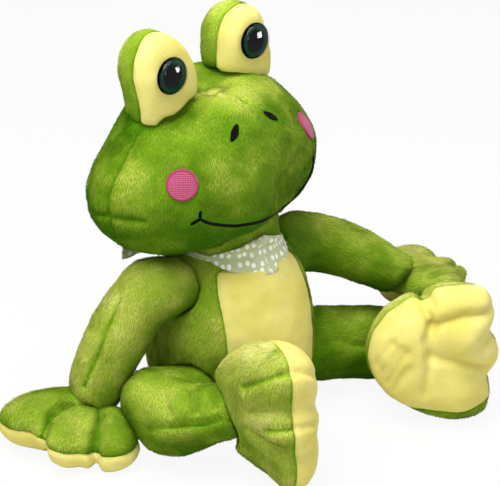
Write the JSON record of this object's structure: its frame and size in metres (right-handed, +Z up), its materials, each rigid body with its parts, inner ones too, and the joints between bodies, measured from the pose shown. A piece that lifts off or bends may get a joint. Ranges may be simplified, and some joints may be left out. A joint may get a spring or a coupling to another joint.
{
  "type": "plush frog",
  "caption": "Seated floppy plush frog with tall eye bumps, domed eyes, long arms and legs with big hands and feet, and a dotted neck scarf.",
  "frame": {"origin": "centre of the flat seat under the body", "axes": "+Z up; the frog faces -Y; its right side is at -X"},
  "size_m": [0.3371, 0.2138, 0.2837],
  "materials": {
    "green_plush": "short-pile plush",
    "yellow_plush": "smooth velour plush",
    "scarf_cloth": "woven cotton with white dots",
    "pink_thread": "satin-stitch embroidery",
    "black_thread": "satin-stitch embroidery",
    "black_plastic": "glossy moulded plastic",
    "clear_plastic": "polished clear dome over a green iris",
    "washer_plastic": "moulded plastic"
  },
  "bodies": {
    "torso": {"torso": "green_plush", "tummy_panel": "yellow_plush", "scarf": "scarf_cloth", "scarf_knot": "scarf_cloth", "scarf_tail_right": "scarf_cloth", "scarf_tail_left": "scarf_cloth"},
    "head": {"head": "green_plush", "mouth_line": "black_thread", "eye_bump_right": "green_plush", "eye_panel_right": "yellow_plush", "eye_base_right": "black_plastic", "eye_lens_right": "clear_plastic", "eye_washer_right": "washer_plastic", "cheek_right": "pink_thread", "nostril_right": "black_thread", "mouth_tail_right": "black_thread", "mouth_tick_right": "black_thread", "eye_bump_left": "green_plush", "eye_panel_left": "yellow_plush", "eye_base_left": "black_plastic", "eye_lens_left": "clear_plastic", "eye_washer_left": "washer_plastic", "cheek_left": "pink_thread", "nostril_left": "black_thread", "mouth_tail_left": "black_thread", "mouth_tick_left": "black_thread"},
    "arm_right": {"arm_right": "green_plush"},
    "hand_right": {"hand_right": "green_plush", "palm_right": "yellow_plush"},
    "leg_right": {"leg_right": "green_plush"},
    "foot_right": {"foot_right": "green_plush", "sole_right": "yellow_plush"},
    "arm_left": {"arm_left": "green_plush"},
    "hand_left": {"hand_left": "green_plush", "palm_left": "yellow_plush"},
    "leg_left": {"leg_left": "green_plush"},
    "foot_left": {"foot_left": "green_plush", "sole_left": "yellow_plush"}
  },
  "joints": [
    {"name": "neck", "type": "hinge", "parent": "torso", "child": "head", "pos_m": [0, 0, 0.146], "axis": [0, 0, 1], "range_deg": [-30, 30]},
    {"name": "shoulder_right", "type": "hinge", "parent": "torso", "child": "arm_right", "pos_m": [-0.04, -0.002, 0.102], "axis": [1, 0, 0], "range_deg": [0, 60]},
    {"name": "wrist_right", "type": "hinge", "parent": "arm_right", "child": "hand_right", "pos_m": [-0.106, 0.014, 0.03397], "axis": [-0.2689, 0.1793, -0.9463], "range_deg": [0, 30]},
    {"name": "hip_right", "type": "hinge", "parent": "torso", "child": "leg_right", "pos_m": [-0.044, -0.018, 0.028], "axis": [-0.9397, -0.342, 0], "range_deg": [-14, 2]},
    {"name": "ankle_right", "type": "hinge", "parent": "leg_right", "child": "foot_right", "pos_m": [-0.06, -0.076, 0.043], "axis": [0.6892, -0.6548, 0.3102], "range_deg": [-20, 20]},
    {"name": "shoulder_left", "type": "hinge", "parent": "torso", "child": "arm_left", "pos_m": [0.04, -0.002, 0.102], "axis": [1, 0, 0], "range_deg": [-50, 0]},
    {"name": "wrist_left", "type": "hinge", "parent": "arm_left", "child": "hand_left", "pos_m": [0.114, -0.049, 0.0816], "axis": [0.5735, -0.5735, -0.585], "range_deg": [0, 16]},
    {"name": "hip_left", "type": "hinge", "parent": "torso", "child": "leg_left", "pos_m": [0.044, -0.018, 0.028], "axis": [0.9397, -0.342, 0], "range_deg": [0, 30]},
    {"name": "ankle_left", "type": "hinge", "parent": "leg_left", "child": "foot_left", "pos_m": [0.096, -0.083, 0.041], "axis": [-0.3157, -0.9077, 0.2763], "range_deg": [-10, 20]}
  ]
}
